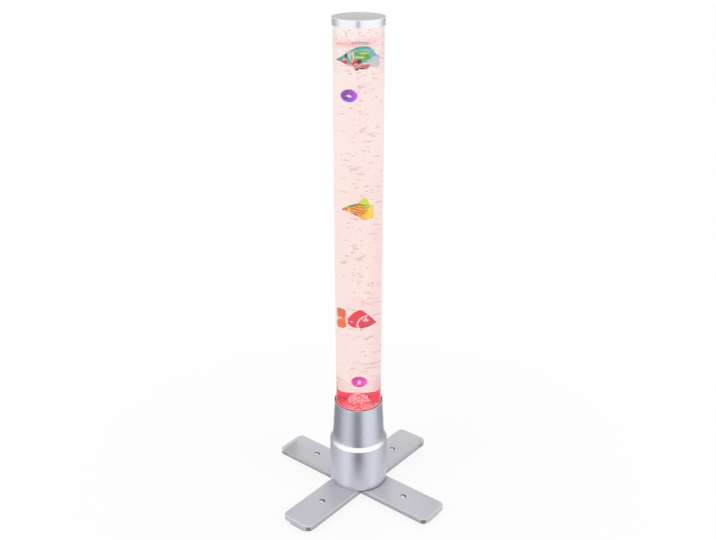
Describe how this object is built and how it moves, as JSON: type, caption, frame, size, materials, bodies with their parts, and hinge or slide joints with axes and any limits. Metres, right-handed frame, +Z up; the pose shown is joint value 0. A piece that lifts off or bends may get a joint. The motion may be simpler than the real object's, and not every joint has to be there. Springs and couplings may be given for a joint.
{
  "type": "bubble tube floor lamp",
  "caption": "Free-standing bubble lamp: a clear water-filled tube with floating fish and balls, lit and aerated from a silver base column on a low cross-shaped stand.",
  "frame": {"origin": "on the floor, under the tube's axis", "axes": "+Z up along the tube, X and Y along the bars of the stand; the switch and socket face between -X and +Y"},
  "size_m": [0.432, 0.432, 1.06],
  "materials": {
    "bar_silver": "satin",
    "foot_grey": "satin",
    "pad_rubber": "matte",
    "screw_steel": "satin",
    "column_silver": "satin",
    "shoulder_silver": "satin",
    "inner_steel": "satin",
    "gasket_rubber": "matte",
    "carrier_white": "satin",
    "tube_clear": "polished",
    "floor_clear": "polished",
    "nozzle_white": "satin",
    "nut_brass": "satin",
    "light_board": "satin",
    "light_lens": "gloss",
    "board_green": "satin",
    "part_black": "matte",
    "post_brass": "satin",
    "pump_black": "satin",
    "core_iron": "satin",
    "coil_copper": "satin",
    "valve_white": "satin",
    "hose_clear": "satin",
    "valve_blue": "gloss",
    "panel_black": "satin",
    "rocker_red": "gloss",
    "lead_black": "satin",
    "lead_red": "satin",
    "lead_white": "satin",
    "cap_silver": "satin",
    "water_clear": "polished",
    "teal_paint": "gloss",
    "yellow_paint": "gloss",
    "red_paint": "gloss",
    "violet_gloss": "gloss",
    "magenta_gloss": "gloss"
  },
  "bodies": {
    "stand": {"base_bar_x": "bar_silver", "base_bar_y": "bar_silver", "foot_right": "foot_grey", "foot_back": "foot_grey", "foot_left": "foot_grey", "foot_front": "foot_grey", "foot_pads": "pad_rubber", "bar_screws": "screw_steel", "column_screws": "screw_steel", "base_plate": "inner_steel", "plate_screws": "inner_steel", "base_housing": "column_silver", "shoulder_ring": "shoulder_silver", "tube_sleeve": "column_silver", "rim_gasket": "gasket_rubber", "tube_carrier": "carrier_white", "carrier_screws": "inner_steel", "water_tube": "tube_clear", "tube_floor": "floor_clear", "air_nozzle": "nozzle_white", "nozzle_seal": "gasket_rubber", "nozzle_nut": "nut_brass", "led_board": "light_board", "led_lights": "light_lens", "led_posts": "post_brass", "control_board": "board_green", "board_parts": "part_black", "board_posts": "post_brass", "pump_case": "pump_black", "pump_lid": "pump_black", "pump_core": "core_iron", "pump_coil": "coil_copper", "pump_diaphragm": "gasket_rubber", "valve_block": "valve_white", "pump_feet": "gasket_rubber", "hose_lower": "hose_clear", "check_valve": "valve_blue", "hose_upper": "hose_clear", "rear_pocket": "panel_black", "dc_socket": "panel_black", "dc_nut": "inner_steel", "switch_body": "panel_black", "power_lead": "lead_black", "switch_lead": "lead_red", "pump_lead": "lead_black", "led_lead": "lead_white", "water": "water_clear"},
    "lid": {"cap": "cap_silver", "cap_gasket": "gasket_rubber"},
    "rocker": {"switch_rocker": "rocker_red"},
    "pump_lever": {"pump_arm": "inner_steel", "arm_magnet": "core_iron"},
    "teal_float": {"fish_teal": "teal_paint"},
    "violet_float": {"ball_violet": "violet_gloss"},
    "yellow_float": {"fish_yellow": "yellow_paint"},
    "red_float": {"fish_red": "red_paint"},
    "magenta_float": {"ball_magenta": "magenta_gloss"}
  },
  "joints": [
    {"name": "lid_lift", "type": "slide", "parent": "stand", "child": "lid", "axis": [0, 0, 1], "range_m": [0, 0.02]},
    {"name": "rocker_press", "type": "hinge", "parent": "stand", "child": "rocker", "pos_m": [-0.04895, 0.03198, 0.062], "axis": [0.7071, 0.7071, 0], "range_deg": [-16, 0]},
    {"name": "lever_swing", "type": "hinge", "parent": "stand", "child": "pump_lever", "pos_m": [-0.00198, -0.00198, 0.053], "axis": [-0.7071, 0.7071, 0], "range_deg": [-1.5, 1.5], "stiffness_Nm_per_rad": 0.05},
    {"name": "teal_drift", "type": "slide", "parent": "stand", "child": "teal_float", "axis": [0, 0, 1], "range_m": [-0.012, 0.008], "deforming": ["water"]},
    {"name": "violet_drift", "type": "slide", "parent": "stand", "child": "violet_float", "axis": [0, 0, 1], "range_m": [-0.09, 0.015], "deforming": ["water"]},
    {"name": "yellow_drift", "type": "slide", "parent": "stand", "child": "yellow_float", "axis": [0, 0, 1], "range_m": [-0.08, 0.095], "deforming": ["water"]},
    {"name": "red_drift", "type": "slide", "parent": "stand", "child": "red_float", "axis": [0, 0, 1], "range_m": [-0.04, 0.08], "deforming": ["water"]},
    {"name": "magenta_drift", "type": "slide", "parent": "stand", "child": "magenta_float", "axis": [0, 0, 1], "range_m": [-0.025, 0.06], "deforming": ["water"]}
  ]
}
